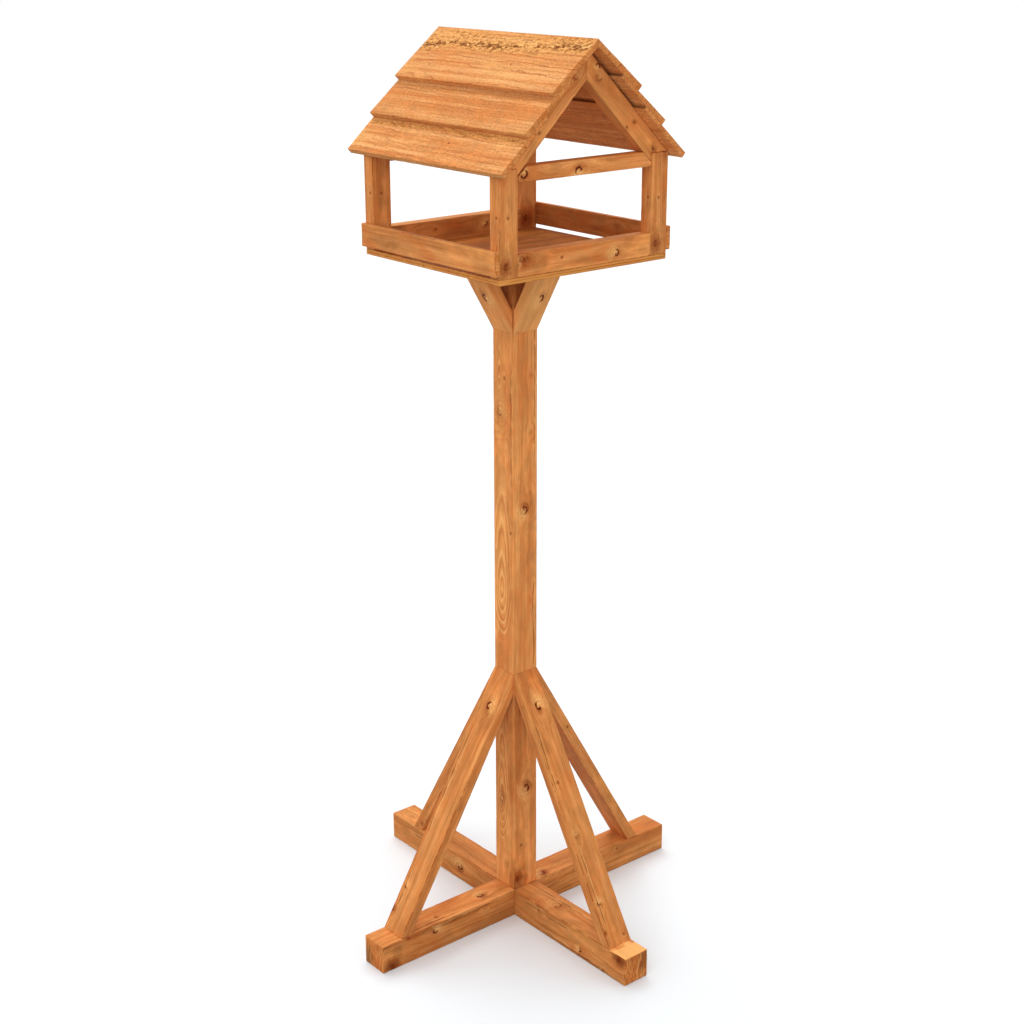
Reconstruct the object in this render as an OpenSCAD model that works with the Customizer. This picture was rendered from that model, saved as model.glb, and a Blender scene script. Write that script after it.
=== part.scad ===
// Bird table: roofed feeding tray on a square pole with a braced cross foot.
// Units are millimetres, +Z is up and +X runs along the ridge of the roof.
// The origin is on the ground, at the middle of the cross foot's outline.

/* [Pole and cross foot] */
// side of the square pole and of both foot beams
pole_size = 58; // [50:1:64]
// length of each foot beam
foot_length = 745; // [700:5:860]
// how far the pole stands from the middle of both foot beams, to the front and right
pole_offset = 16; // [0:1:24]
// height of the underside of the tray floor above the ground
tray_height = 1342; // [1100:1:1500]

/* [Braces] */
// width across each brace
brace_width = 56; // [40:1:57]
// thickness of each brace
brace_thickness = 22; // [16:1:26]
// angle of the braces above level
brace_angle = 59.3; // [55:0.1:62]
// how far each foot brace reaches out from the pole
foot_brace_reach = 283; // [220:1:290]
// how far each tray bracket reaches out from the pole
bracket_reach = 80; // [60:1:110]

/* [Tray] */
// side of the square tray floor
tray_size = 384; // [360:2:420]
// thickness of the plywood tray floor
floor_thickness = 10; // [8:1:15]
// thickness of posts, end rails, ties and rafters, along the ridge
batten_thickness = 26; // [18:1:32]
// width of each corner post across the ridge
post_width = 39; // [30:1:45]
// height of the end rails above the tray floor
end_rail_height = 40; // [25:1:50]
// height of the side rails
side_rail_height = 42; // [25:1:50]
// thickness of the side rails
side_rail_thickness = 10; // [8:1:15]
// gap under the side rails that lets rain water out
drain_gap = 6; // [4:1:14]

/* [Roof] */
// slope of the rafters
roof_pitch = 44; // [40:1:48]
// height of the corner posts above the tray floor
post_height = 180; // [160:1:220]
// depth of the rafters, square to the slope
rafter_depth = 37; // [28:1:42]
// how far the rafters sit back from the faces of the posts
rafter_setback = 3; // [1:0.5:5]
// height of the tie beam across each end
tie_height = 26; // [18:1:32]
// how far the ties sit back from the faces of the posts
tie_setback = 1.5; // [0:0.5:3]
// how far the top of each tie stands above the tops of the posts
tie_rise = 3; // [0:0.5:4]
// gap between the cut corners of each tie and the rafters
tie_gap = 1.5; // [0.5:0.5:3]
// how far the roof boards run past the tray at each end
gable_overhang = 25; // [15:1:45]
// width of each roof board, down the slope
board_width = 130; // [120:1:140]
// thickness of a roof board at its lower edge
board_thickness = 11.5; // [10:0.5:14]
// thickness of the lower and middle boards at the upper edge
board_thin_edge = 6; // [4:0.5:8]
// thickness of the top boards at the ridge
ridge_edge = 10.5; // [9:0.5:12]
// how far the lowest board runs past the outer face of the posts, down the slope
eave_overhang = 14; // [8:1:20]
// how much of the lowest board shows
lower_reveal = 78.5; // [70:0.5:84]
// how much of the middle board shows
middle_reveal = 84; // [74:0.5:90]

/* [Hidden] */
// colours: stained pine timber, plywood, sawn roof boards
pine_colour = [0.80, 0.51, 0.28];
ply_colour = [0.72, 0.46, 0.26];
roof_colour = [0.92, 0.63, 0.39];
// pole and foot
px = pole_offset;
py = -pole_offset;
half_pole = pole_size / 2;
half_foot = foot_length / 2;
lap = pole_size / 2;
pole_base = pole_size;
// braces
brace_slope = tan(brace_angle);
foot_brace_rise = foot_brace_reach * brace_slope;
bracket_rise = bracket_reach * brace_slope;
brace_level_cut = brace_thickness / sin(brace_angle);
brace_plumb_cut = brace_thickness / cos(brace_angle);
// tray
half_tray = tray_size / 2;
floor_top = tray_height + floor_thickness;
post_inner = half_tray - post_width;
// roof lines, as (distance across from the ridge, height above the tray floor)
roof_length = tray_size + 2 * gable_overhang;
pitch_tan = tan(roof_pitch);
pitch_cos = cos(roof_pitch);
pitch_sin = sin(roof_pitch);
rafter_top = post_height + half_tray * pitch_tan;
rafter_under = rafter_top - rafter_depth / pitch_cos;
tie_line = rafter_under - tie_gap / pitch_cos;
tie_top = post_height + tie_rise;
tie_bottom = tie_top - tie_height;
// lower tips of the roof boards, measured down the slope from the rafter apex
tip_low = half_tray / pitch_cos + eave_overhang;
tip_mid = tip_low - lower_reveal;
tip_top = tip_mid - middle_reveal;
head_low = tip_low - board_width;
head_mid = tip_mid - board_width;
// the middle board lies on the face of the lower board
face_low = (board_thickness - board_thin_edge) / board_width;
seat_mid = board_thickness - lower_reveal * face_low;
head_mid_under = board_thin_edge - (head_low - head_mid) * face_low;
// the top board lies on the face of the middle board
head_mid_face = head_mid_under + board_thin_edge;
tip_mid_face = seat_mid + board_thickness;
face_mid = (tip_mid_face - head_mid_face) / board_width;
seat_top = head_mid_face + (tip_top - head_mid) * face_mid;
tip_top_face = seat_top + board_thickness;

// point on the slope: distance down it, height square to it
function slope_point(s, n) =
    [s * pitch_cos + n * pitch_sin, rafter_top - s * pitch_sin + n * pitch_cos];

// height where a slope line through (s, n) with rise m meets the middle of the ridge
function ridge_point(s, n, m) =
    let (h = -(n - m * s) * pitch_sin / (pitch_cos + m * pitch_sin))
    [0, slope_point(h, n + m * (h - s))[1]];

// a flat shape in (across, up) drawn along the ridge direction
module along_ridge(x_start, x_length) {
    translate([x_start, 0, 0])
        rotate([90, 0, 90])
            linear_extrude(height = x_length)
                children();
}

module block(low, high) {
    translate(low) cube(high - low);
}

// beam that runs left to right, notched on top
module lower_foot_beam() {
    color(pine_colour) difference() {
        block([-half_foot, py - half_pole, 0], [half_foot, py + half_pole, pole_size]);
        block([px - half_pole, py - pole_size, lap],
              [px + half_pole, py + pole_size, pole_size + 1]);
    }
}

// beam that runs front to back, notched underneath
module upper_foot_beam() {
    color(pine_colour) difference() {
        block([px - half_pole, -half_foot, 0], [px + half_pole, half_foot, pole_size]);
        block([px - pole_size, py - half_pole, -1],
              [px + pole_size, py + half_pole, lap]);
    }
}

module pole() {
    color(pine_colour) block([px - half_pole, py - half_pole, pole_base],
                 [px + half_pole, py + half_pole, tray_height]);
}

// brace leaning from the foot beam up to the pole, on the right side of the pole
module brace_shape(reach, rise) {
    polygon([
        [half_pole, rise],
        [half_pole, rise - brace_plumb_cut],
        [half_pole + reach - brace_level_cut, 0],
        [half_pole + reach, 0]
    ]);
}

module foot_brace(turn) {
    color(pine_colour) translate([px, py, pole_base])
        rotate([0, 0, turn])
            rotate([90, 0, 0])
                translate([0, 0, -brace_width / 2])
                    linear_extrude(height = brace_width)
                        brace_shape(foot_brace_reach, foot_brace_rise);
}

module right_foot_brace() {
    foot_brace(0);
}

module back_foot_brace() {
    foot_brace(90);
}

module left_foot_brace() {
    foot_brace(180);
}

module front_foot_brace() {
    foot_brace(270);
}

// bracket leaning from the pole out to the tray floor
module tray_bracket(turn) {
    color(pine_colour) translate([px, py, tray_height])
        rotate([0, 0, turn])
            rotate([90, 0, 0])
                translate([0, 0, -brace_width / 2])
                    linear_extrude(height = brace_width)
                        mirror([0, 1])
                            brace_shape(bracket_reach, bracket_rise);
}

module right_bracket() {
    tray_bracket(0);
}

module back_bracket() {
    tray_bracket(90);
}

module left_bracket() {
    tray_bracket(180);
}

module front_bracket() {
    tray_bracket(270);
}

// parts of the tray and roof are drawn about the pole, from the top of the tray floor
module on_tray() {
    translate([px, py, floor_top]) children();
}

module tray_floor() {
    color(ply_colour) on_tray()
        block([-half_tray, -half_tray, -floor_thickness], [half_tray, half_tray, 0]);
}

module corner_post(x_side, y_side) {
    x_low = x_side > 0 ? half_tray - batten_thickness : -half_tray;
    y_low = y_side > 0 ? post_inner : -half_tray;
    color(pine_colour) on_tray()
        block([x_low, y_low, 0], [x_low + batten_thickness, y_low + post_width, post_height]);
}

module front_left_post() {
    corner_post(-1, -1);
}

module front_right_post() {
    corner_post(1, -1);
}

module back_left_post() {
    corner_post(-1, 1);
}

module back_right_post() {
    corner_post(1, 1);
}

// side rails run along the ridge direction, outside the posts and clear of the floor
module side_rail(y_side) {
    y_low = y_side > 0 ? half_tray : -half_tray - side_rail_thickness;
    color(pine_colour) on_tray()
        block([-half_tray, y_low, drain_gap],
              [half_tray, y_low + side_rail_thickness, drain_gap + side_rail_height]);
}

module front_rail() {
    side_rail(-1);
}

module back_rail() {
    side_rail(1);
}

// end rails stand on the floor between the posts
module end_rail(x_side) {
    x_low = x_side > 0 ? half_tray - batten_thickness : -half_tray;
    color(pine_colour) on_tray()
        block([x_low, -post_inner, 0], [x_low + batten_thickness, post_inner, end_rail_height]);
}

module left_rail() {
    end_rail(-1);
}

module right_rail() {
    end_rail(1);
}

// tie beam between the posts, its upper corners cut to the slope of the rafters
module tie_beam(x_side) {
    x_low = x_side > 0 ? half_tray - tie_setback - batten_thickness : -half_tray + tie_setback;
    cut_y = (tie_line - tie_top) / pitch_tan;
    cut_z = tie_line - post_inner * pitch_tan;
    color(pine_colour) on_tray() along_ridge(x_low, batten_thickness)
        polygon([
            [-post_inner, tie_bottom],
            [post_inner, tie_bottom],
            [post_inner, cut_z],
            [cut_y, tie_top],
            [-cut_y, tie_top],
            [-post_inner, cut_z]
        ]);
}

module left_tie() {
    tie_beam(-1);
}

module right_tie() {
    tie_beam(1);
}

// rafter with a plumb cut at the ridge and a seat cut on top of the post
module rafter(x_side, y_side) {
    x_low = x_side > 0 ? half_tray - rafter_setback - batten_thickness
                       : -half_tray + rafter_setback;
    color(pine_colour) on_tray() along_ridge(x_low, batten_thickness)
        polygon([
            [0, rafter_top],
            [0, rafter_under],
            [y_side * post_inner, rafter_under - post_inner * pitch_tan],
            [y_side * post_inner, post_height],
            [y_side * half_tray, post_height]
        ]);
}

module front_left_rafter() {
    rafter(-1, -1);
}

module front_right_rafter() {
    rafter(1, -1);
}

module back_left_rafter() {
    rafter(-1, 1);
}

module back_right_rafter() {
    rafter(1, 1);
}

// a roof board drawn from its outline on the back slope, flipped for the front
module roof_board(y_side, outline) {
    color(roof_colour) on_tray()
        along_ridge(-roof_length / 2, roof_length)
            polygon([for (p = outline) [y_side * p[0], p[1]]]);
}

low_outline = [
    slope_point(head_low, 0),
    slope_point(tip_low, 0),
    slope_point(tip_low, board_thickness),
    slope_point(head_low, board_thin_edge)
];

mid_outline = [
    slope_point(head_mid, head_mid_under),
    slope_point(tip_mid, seat_mid),
    slope_point(tip_mid, tip_mid_face),
    slope_point(head_mid, head_mid_face)
];

top_outline = [
    ridge_point(tip_top, seat_top, face_mid),
    slope_point(tip_top, seat_top),
    slope_point(tip_top, tip_top_face),
    ridge_point(tip_top, tip_top_face,
                face_mid + (board_thickness - ridge_edge) / tip_top)
];

module front_low_board() {
    roof_board(-1, low_outline);
}

module front_middle_board() {
    roof_board(-1, mid_outline);
}

module front_top_board() {
    roof_board(-1, top_outline);
}

module back_low_board() {
    roof_board(1, low_outline);
}

module back_middle_board() {
    roof_board(1, mid_outline);
}

module back_top_board() {
    roof_board(1, top_outline);
}

lower_foot_beam();
upper_foot_beam();
pole();
front_foot_brace();
back_foot_brace();
left_foot_brace();
right_foot_brace();
front_bracket();
back_bracket();
left_bracket();
right_bracket();
tray_floor();
front_left_post();
front_right_post();
back_left_post();
back_right_post();
front_rail();
back_rail();
left_rail();
right_rail();
left_tie();
right_tie();
front_left_rafter();
front_right_rafter();
back_left_rafter();
back_right_rafter();
front_low_board();
front_middle_board();
front_top_board();
back_low_board();
back_middle_board();
back_top_board();
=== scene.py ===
import math

import bmesh
import bpy
import numpy as np
from mathutils import Euler, Matrix, Vector


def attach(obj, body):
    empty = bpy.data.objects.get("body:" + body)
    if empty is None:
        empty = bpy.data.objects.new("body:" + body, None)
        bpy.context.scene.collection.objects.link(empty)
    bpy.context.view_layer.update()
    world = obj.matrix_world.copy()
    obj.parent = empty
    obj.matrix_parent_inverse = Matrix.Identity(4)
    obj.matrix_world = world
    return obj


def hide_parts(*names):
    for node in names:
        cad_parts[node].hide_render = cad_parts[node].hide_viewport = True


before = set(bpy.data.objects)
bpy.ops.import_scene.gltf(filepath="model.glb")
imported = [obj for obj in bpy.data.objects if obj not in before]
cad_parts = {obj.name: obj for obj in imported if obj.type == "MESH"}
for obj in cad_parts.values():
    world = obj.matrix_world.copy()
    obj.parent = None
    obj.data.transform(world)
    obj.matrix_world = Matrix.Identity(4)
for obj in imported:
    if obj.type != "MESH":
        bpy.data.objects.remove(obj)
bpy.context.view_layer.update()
scene = bpy.context.scene
MM = 0.001
WHITE = (1.0, 1.0, 1.0)


def new_object(name, data):
    made = bpy.data.objects.new(name, data)
    scene.collection.objects.link(made)
    return made


# -------- camera
CAMERA_AT = Vector((2.43027, -2.02084, 1.93307))
CAMERA_TURN = (71.0084, 0.1518, 50.3622)  # degrees about X, Y and Z
CAMERA_LENS = 61.43  # mm, for this width of sensor
SENSOR_WIDTH = 36.0

camera_data = bpy.data.cameras.new("camera")
camera_data.sensor_width = SENSOR_WIDTH
camera_data.lens = CAMERA_LENS
camera = new_object("camera", camera_data)
camera_turn = Euler([math.radians(angle) for angle in CAMERA_TURN])
camera.matrix_world = Matrix.LocRotScale(CAMERA_AT, camera_turn, None)
scene.camera = camera

# -------- noise
HASH_X, HASH_Y, HASH_Z = 374761393, 668265263, 1103515245
HASH_SEED = 1274126177
WORD = 0xFFFFFFFF
LOW_BITS = 0xFFFFFF


def lattice(ix, iy, iz, seed):
    """A number from -1 to 1 for each point with whole coordinates, always the same for one seed."""
    h = (ix * HASH_X + iy * HASH_Y + iz * HASH_Z + seed * HASH_SEED) & WORD
    h = ((h ^ (h >> 13)) * HASH_SEED) & WORD
    return ((h ^ (h >> 16)) & LOW_BITS) / float(LOW_BITS) * 2.0 - 1.0


def noise3(p, seed):
    """Smooth noise from -1 to 1 at the rows of p, with features about one unit across."""
    base = np.floor(p).astype(np.int64)
    f = p - base
    f = f * f * (3.0 - 2.0 * f)
    out = 0.0
    for dx in (0, 1):
        wx = f[:, 0] if dx else 1.0 - f[:, 0]
        for dy in (0, 1):
            wy = f[:, 1] if dy else 1.0 - f[:, 1]
            for dz in (0, 1):
                wz = f[:, 2] if dz else 1.0 - f[:, 2]
                corner = lattice(base[:, 0] + dx, base[:, 1] + dy, base[:, 2] + dz, seed)
                out = out + corner * wx * wy * wz
    return out


def smooth(x, low, high):
    """0 up to low, 1 from high on, and a soft rise between them."""
    t = np.clip((x - low) / (high - low), 0.0, 1.0)
    return t * t * (3.0 - 2.0 * t)


# -------- node trees
class Nodes:
    """Short calls for building the node tree of a material or of the world."""

    def __init__(self, owner):
        self.owner = owner
        owner.use_nodes = True
        self.tree = owner.node_tree
        self.tree.nodes.clear()

    def put(self, socket, value):
        if isinstance(value, bpy.types.NodeSocket):
            self.tree.links.new(value, socket)
        elif isinstance(value, (tuple, list)) and len(value) == 3 and len(socket.default_value) == 4:
            socket.default_value = (*value, 1.0)
        else:
            socket.default_value = value

    def make(self, kind, inputs, **settings):
        node = self.tree.nodes.new(kind)
        for key, value in settings.items():
            setattr(node, key, value)
        for key, value in inputs.items():
            self.put(node.inputs[key], value)
        return node

    def calc(self, op, a, b=0.0, c=0.0):
        return self.make("ShaderNodeMath", {0: a, 1: b, 2: c}, operation=op).outputs[0]

    def minus(self, a, b):
        return self.calc("SUBTRACT", a, b)

    def line(self, x, gain, base):
        return self.calc("MULTIPLY_ADD", x, gain, base)

    def times(self, first, *others):
        for other in others:
            first = self.calc("MULTIPLY", first, other)
        return first

    def vec(self, op, a, b=(0.0, 0.0, 0.0), out=0, **more):
        node = self.make("ShaderNodeVectorMath", {0: a, 1: b}, operation=op)
        for key, value in more.items():
            self.put(node.inputs[key], value)
        return node.outputs[out]

    def length(self, a):
        return self.vec("LENGTH", a, out="Value")

    def attribute(self, name):
        return self.make("ShaderNodeAttribute", {}, attribute_name=name).outputs["Vector"]

    def split(self, v):
        return self.make("ShaderNodeSeparateXYZ", {0: v}).outputs

    def join(self, x, y, z):
        return self.make("ShaderNodeCombineXYZ", {0: x, 1: y, 2: z}).outputs[0]

    def noise(self, v, scale, detail, rough):
        """Noise about 0.5, with scale features to one unit of v in each direction."""
        place = self.vec("MULTIPLY", v, scale)
        inputs = {"Vector": place, "Scale": 1.0, "Detail": detail, "Roughness": rough}
        return self.make("ShaderNodeTexNoise", inputs).outputs["Fac"]

    def sway(self, noise, amount, base):
        """base, moved up or down by a noise."""
        return self.line(self.minus(noise, 0.5), amount, base)

    def step(self, x, low, high, to_low=0.0, to_high=1.0):
        """A soft step from to_low, where x is low, to to_high, where x is high."""
        inputs = {0: x, 1: low, 2: high, 3: to_low, 4: to_high}
        return self.make("ShaderNodeMapRange", inputs, interpolation_type="SMOOTHSTEP").outputs[0]

    def fade(self, x, low, high):
        return self.step(x, low, high, 1.0, 0.0)

    def band(self, x, middle, inner, outer, most=1.0):
        """most where x is within inner of middle, down to 0 at outer."""
        return self.step(self.calc("ABSOLUTE", self.minus(x, middle)), inner, outer, most, 0.0)

    def uneven(self, noise, spread):
        """A brightness about 1 that a noise moves up or down by spread."""
        return self.step(noise, 0.3, 0.7, 1.0 - spread, 1.0 + spread)

    def ramp(self, x, stops):
        node = self.make("ShaderNodeValToRGB", {0: x})
        points = node.color_ramp.elements
        while len(points) < len(stops):
            points.new(0.5)
        for point, (place, colour) in zip(points, stops):
            point.position = place
            if isinstance(colour, float):
                colour = (colour, colour, colour)
            point.color = (*colour, 1.0)
        return node.outputs["Color"]

    def mix(self, factor, a, b, blend="MIX"):
        node = self.make("ShaderNodeMix", {0: factor, 6: a, 7: b}, data_type="RGBA", blend_type=blend)
        return node.outputs[2]

    def shade(self, colour, factor):
        """A colour times a plain number that varies over the surface."""
        return self.vec("SCALE", colour, Scale=factor)

    def seen_directly(self):
        """1 for what the camera sees, and 0 for light on its way."""
        path = self.make("ShaderNodeLightPath", {}).outputs
        seen = self.calc("MAXIMUM", path["Is Camera Ray"], path["Is Glossy Ray"])
        return self.calc("MAXIMUM", seen, path["Is Transmission Ray"])

    def show(self, shader, output="ShaderNodeOutputMaterial"):
        self.make(output, {0: shader})
        return self.owner


def linear(r, g, b):
    """A colour written as 0-255 screen values."""
    def one(v):
        v = v / 255.0
        return v / 12.92 if v <= 0.04045 else ((v + 0.055) / 1.055) ** 2.4
    return (one(r), one(g), one(b))


# -------- timber
# how far knots, cracks and pits lie below the surface, in bump heights
CRESCENT_DEPTH, CRACK_DEPTH, PIT_DEPTH = 0.55, 0.8, 1.6
BUMP_STRENGTH, BUMP_HEIGHT = 0.8, 0.0006
# a crack wanders this far to each side, in metres; its pale lip lies beside it, in mm
CRACK_WANDER = 0.008
LIP_AT = 3.2
SHEEN = 0.1
SHEEN_TINT = (1.0, 0.66, 0.4)


class Wood(Nodes):
    """A timber material, from what board() stores on the mesh. Each method from ground() on adds one
    thing to its colour. Noise scales are features to a metre, along the grain and then across it."""

    def __init__(self, name, look):
        super().__init__(bpy.data.materials.new(name))
        self.look = look
        self.grain = self.attribute("wood_grain")
        # the rings attribute also carries the brightness: the piece's tone times its shades, among them
        # painted shade and painted highlights
        self.ring_v, self.ring_w, self.tone = self.stored("rings")
        self.end, self.wear, self.rough = self.stored("marks")
        self.along, self.across, _ = self.stored("face")
        self.wave = self.figure(16.0, 26.0, 3.0, 0.6)
        self.streak = self.figure(2.6, 110.0, 2.0, 0.5)
        self.fibre = self.figure(45.0, 1500.0, 2.0, 0.6)
        self.cloud = self.figure(7.0, 17.0, 3.0, 0.6)
        self.blotch = self.figure(22.0, 45.0, 3.0, 0.6)

    def stored(self, name):
        return self.split(self.attribute("wood_" + name))

    def figure(self, along, across, detail, rough):
        return self.noise(self.grain, (along, across, across), detail, rough)

    def lay(self, key, *amounts):
        """Lays one of the look's colours over the colour so far, as strongly as the amounts' product."""
        self.colour = self.mix(self.times(*amounts), self.colour, self.look[key])

    def rings(self):
        """Rings that wander, each with a soft rise and a sharp fall to the next year."""
        look = self.look
        radius = self.length(self.join(self.ring_v, self.ring_w, 0.0))
        radius = self.sway(self.figure(5.0, 60.0, 3.0, 0.55), look["wander"], radius)
        radius = self.sway(self.wave, look["wave"], radius)
        radius = self.sway(self.figure(26.0, 420.0, 2.0, 0.6), look["ripple"], radius)
        late = self.ramp(self.calc("FRACT", radius), [
            (0.0, 0.10), (0.08, 0.0), (0.45, look["late_soft"]),
            (look["late_from"], look["late_soft"] * 4.5), (0.93, 1.0), (1.0, 0.10)])
        year = self.calc("FLOOR", radius)
        strength = self.make("ShaderNodeTexWhiteNoise", {"W": year}, noise_dimensions="1D").outputs["Value"]
        strength = self.calc("POWER", strength, look["year_power"])
        strength = self.line(strength, 1.0 - look["year_low"], look["year_low"])
        self.late = self.times(late, strength)

    def ground(self):
        """Long streaks, late wood, resin, stained and bright clouds, and an uneven brightness."""
        look = self.look
        self.colour = self.ramp(self.streak, [(0.34, look["deep"]), (0.5, look["mid"]), (0.66, look["pale"])])
        self.lay("late", self.late, look["late_mix"])
        resin = self.figure(3.2, 420.0, 3.0, 0.6)
        self.lay("late", self.step(resin, 0.55, 0.68), look["resin_mix"])
        stain = self.step(self.sway(self.blotch, 0.6, self.cloud), 0.46, 0.72)
        self.lay("stain", stain, look["stain_mix"])
        bright = self.step(self.cloud, 0.44, 0.24)
        self.lay("bright", bright, look["bright_mix"])
        value = self.times(self.uneven(self.blotch, look["blotch"]), self.uneven(self.fibre, look["fibre"]))
        self.colour = self.shade(self.colour, self.times(value, self.tone))

    def plies(self):
        """The layers of the plywood, which show at its edge."""
        through, edge, _ = self.stored("ply")
        layer = self.sway(self.wave, 0.25, self.times(through, self.look["plies"]))
        pale = self.step(self.calc("PINGPONG", layer, 1.0), 0.35, 0.65)
        from_middle = self.calc("ABSOLUTE", self.minus(self.calc("FRACT", layer), 0.5))
        self.lay("bright", edge, pale, 0.6)
        self.lay("knot", edge, self.step(from_middle, 0.36, 0.5), 0.75)

    def pale_where_bright(self):
        """Paler, towards the fan colour, where the stored brightness is above 1.14: on the pale pieces, and
        under the painted highlights.
        """
        self.lay("fan", self.step(self.tone, 1.14, 1.34, 0.0, 0.6))

    def ends(self):
        """End grain, with its rings and pale combed lines."""
        look = self.look
        pale = self.times(self.end, look["end_mix"])
        self.colour = self.mix(pale, self.colour, look["end"], "MULTIPLY")
        self.lay("knot", self.end, self.late, look["end_late"])
        comb = self.step(self.noise(self.grain, (1.0, 24.0, 330.0), 2.0, 0.5), 0.5, 0.62)
        self.lay("fan", self.end, comb, look["comb_mix"])

    def arrises(self):
        """Arrises a little paler where they are worn and darker where they are bruised."""
        look = self.look
        chips = self.step(self.figure(60.0, 60.0, 3.0, 0.6), 0.42, 0.66, 0.15, 1.0)
        self.lay("worn", self.wear, chips, look["worn_mix"])
        bruise = self.step(self.figure(5.0, 25.0, 2.0, 0.5), 0.48, 0.60)
        ragged = self.step(self.figure(60.0, 90.0, 3.0, 0.65), 0.40, 0.54)
        at_arris = self.step(self.wear, 0.0, 0.4)
        self.lay("knot", bruise, ragged, at_arris, look["bruise_mix"])

    def measure(self, place, origin, per_unit):
        return self.times(self.minus(place, origin), per_unit)

    def knots(self):
        """The nearest knot of each face, in knot radii: a soft brown shade and swirling lines, a pale fan on
        one side, a pale lip and dark curls on the other, and a dark core in smoke."""
        dark, curled, pale = self.stored("knot_kind")
        at_along, at_across, per_radius = self.stored("knot")
        turn_cos, turn_sin, swirl = self.stored("knot_look")
        x = self.measure(self.along, at_along, per_radius)
        y = self.measure(self.across, at_across, per_radius)
        here = self.join(x, y, self.times(at_along, 90.0))
        jag = self.minus(self.noise(here, (1.3, 1.3, 1.0), 3.0, 0.6), 0.5)
        grit = self.noise(here, (3.4, 3.4, 1.0), 3.0, 0.7)
        ahead = self.calc("ADD", self.times(x, turn_cos), self.times(y, turn_sin))
        beside = self.minus(self.times(y, turn_cos), self.times(x, turn_sin))
        distance = self.length(self.join(self.times(x, 0.85), y, 0.0))
        ragged = self.line(dark, 1.3, 0.75)
        far = self.line(jag, ragged, distance)
        side = self.calc("DIVIDE", ahead, self.calc("ADD", distance, 0.1))
        bearing = self.times(self.calc("ARCTAN2", beside, ahead), self.calc("SIGN", per_radius))
        curl = self.minus(self.line(bearing, -0.2, far), 0.62)

        shade = self.times(self.fade(far, 0.5, 2.3), self.step(side, -0.9, 0.5, 0.3, 1.0))
        self.lay("knot", shade, curled, 0.28)
        lines = self.step(self.calc("FRACT", self.times(far, 1.9)), 0.45, 0.85)
        lines = self.times(lines, self.fade(far, 1.2, 2.4), self.step(grit, 0.36, 0.56, 0.25, 1.0))
        self.lay("knot", lines, swirl, 0.55)

        ripple = self.calc("FRACT", self.line(distance, 1.15, self.times(jag, 2.2)))
        ripple = self.times(self.step(ripple, 0.25, 0.6), self.step(grit, 0.4, 0.58, 0.1, 1.0))
        fan = self.times(self.fade(far, 0.9, 3.6), self.step(side, 0.1, -0.75), pale,
                         self.line(ripple, 0.8, 0.2))
        self.lay("fan", fan, 0.95)
        behind = self.times(self.band(curl, 0.5, 0.08, 0.3, 0.4), self.step(side, 0.3, -0.4))
        lip = self.calc("MAXIMUM", self.band(curl, -0.42, 0.1, 0.3), behind)
        lip = self.times(lip, self.step(grit, 0.40, 0.56, 0.15, 1.0), pale,
                         self.step(side, 0.95, 0.2, 0.45, 1.0))
        self.lay("fan", lip, 0.75)

        inner = self.times(self.band(curl, 0.0, 0.16, 0.34), self.step(side, -0.7, -0.1))
        outer = self.times(self.band(curl, 0.66, 0.08, 0.24), self.step(side, 0.3, 0.75), dark)
        curls = self.calc("MAXIMUM", inner, outer)
        self.crescent = self.times(curls, curled, self.step(grit, 0.32, 0.46, 0.55, 1.0))
        self.lay("crescent", self.crescent, 0.95)
        smoke = self.fade(far, 0.4, 2.4)
        self.lay("knot", smoke, dark, 0.55)
        core = self.times(self.fade(far, 0.1, 1.0), self.step(grit, 0.36, 0.6, 0.2, 1.0))
        self.lay("crescent", core, dark, 0.85)

    def flames(self):
        """Flame figure: nested arches, long above their middle and short below it, in half widths."""
        at_along, at_across, per_width = self.stored("flame")
        rise = self.measure(self.along, at_along, per_width)
        aside = self.measure(self.across, at_across, per_width)
        above = self.calc("POWER", self.times(self.calc("MAXIMUM", rise, 0.0), 0.17), 0.7)
        below = self.times(self.calc("MAXIMUM", self.times(rise, -1.0), 0.0), 0.3)
        arch = self.sway(self.wave, 0.5, self.length(self.join(above, below, aside)))
        loop = self.calc("FRACT", self.times(arch, 2.2))
        flame = self.times(self.step(arch, 2.5, 1.7), self.step(per_width, 0.0, 10.0),
                           self.step(self.blotch, 0.3, 0.55, 0.35, 1.0))
        pale = self.times(self.step(loop, 0.0, 0.12), self.step(loop, 0.42, 0.18))
        dark = self.times(self.step(loop, 0.62, 0.86), self.step(loop, 1.0, 0.92))
        self.lay("fan", flame, pale, 0.55)
        self.lay("late", flame, dark, 0.35)

    def cracks(self):
        """Cracks along the grain, with a pale lip."""
        at_across, middle, per_half = self.stored("crack")
        down = self.join(self.along, at_across, 0.0)
        run = self.times(self.noise(down, (9.0, 40.0, 1.0), 4.0, 0.6), 2 * CRACK_WANDER)
        run = self.minus(run, CRACK_WANDER)
        off = self.minus(self.minus(self.across, at_across), run)
        off = self.times(off, 1 / MM)
        reach = self.times(self.calc("ABSOLUTE", self.minus(self.along, middle)), per_half)
        inside = self.fade(reach, 0.6, 1.0)
        wide = self.noise(down, (22.0, 90.0, 1.0), 3.0, 0.6)
        width = self.step(wide, 0.36, 0.64, 0.5, 2.2)
        line = self.fade(self.calc("DIVIDE", self.calc("ABSOLUTE", off), width), 0.3, 1.1)
        self.crack = self.times(line, inside, self.step(wide, 0.36, 0.52, 0.15, 1.0))
        lip = self.times(self.band(off, LIP_AT, 0.6, 2.6), inside, self.step(wide, 0.34, 0.5, 1.0, 0.35))
        self.lay("fan", lip, 0.42)
        self.lay("split", self.crack, 0.58)

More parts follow.
